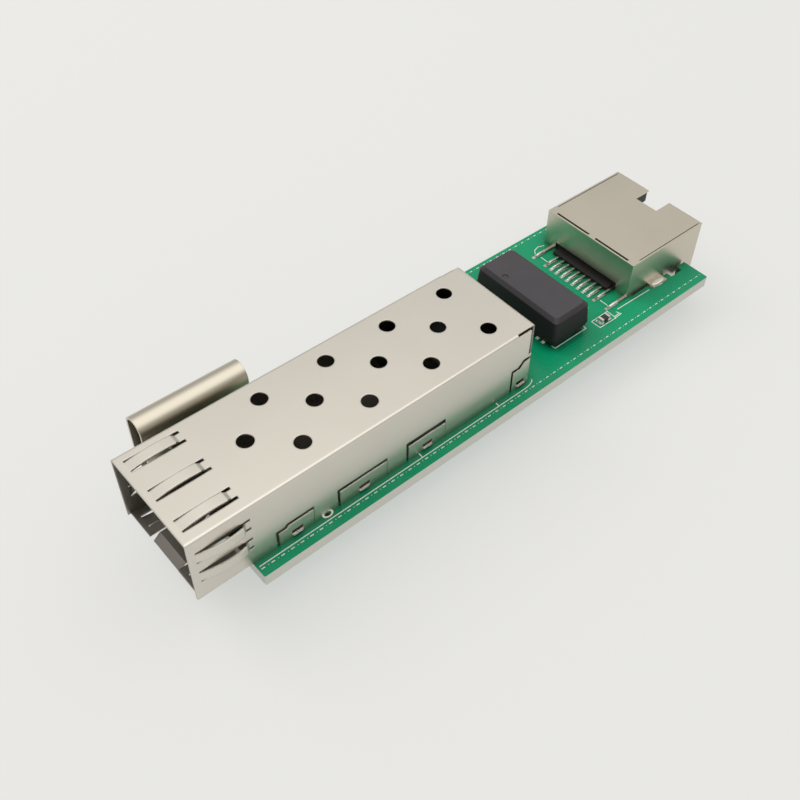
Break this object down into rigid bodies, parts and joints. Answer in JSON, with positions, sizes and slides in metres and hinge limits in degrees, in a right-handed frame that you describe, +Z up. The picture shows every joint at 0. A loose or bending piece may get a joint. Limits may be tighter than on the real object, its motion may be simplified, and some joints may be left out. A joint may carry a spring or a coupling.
{
  "type": "fibre media converter board",
  "caption": "Bare media converter board joining an optical module cage to a shielded network jack, powered by a small socket on edge.",
  "frame": {"origin": "middle of the bounding box in X and Y, at the lowest point of the jack's shield", "axes": "+X from the optical module's mouth to the network jack's mouth, +Y to the power socket's side, +Z up from the board"},
  "size_m": [0.0852, 0.0228, 0.0158],
  "materials": {
    "board": "green solder mask, glossy",
    "cage_metal": "tin plated sheet",
    "jack_metal": "nickel plated sheet",
    "gold": "gold plated contacts",
    "tin": "tinned leads",
    "can_metal": "metal lid",
    "black_plastic": "moulded insulator",
    "epoxy": "moulded epoxy",
    "ferrite": "dark ferrite body",
    "ceramic": "ceramic body"
  },
  "bodies": {
    "root": {"circuit_board": "board", "cage_cover": "cage_metal", "cage_tray": "cage_metal", "host_contacts_lower": "gold", "host_contacts_upper": "gold", "host_connector": "black_plastic", "jack_shield": "jack_metal", "jack_contacts": "gold", "jack_housing": "black_plastic", "transformer_body": "epoxy", "transformer_feet": "tin", "power_shell": "jack_metal", "power_insulator": "black_plastic", "power_contacts": "gold", "ferrite_bead": "ferrite", "bead_terminals": "tin", "converter_chip": "epoxy", "crystal": "can_metal", "memory_chip": "epoxy", "regulator": "epoxy", "inductor": "epoxy", "supply_capacitor_a": "ceramic", "supply_capacitor_b": "ceramic", "memory_leads": "tin", "regulator_leads": "tin", "decoupling_capacitors": "ceramic", "decoupling_terminals": "tin"}
  },
  "joints": []
}
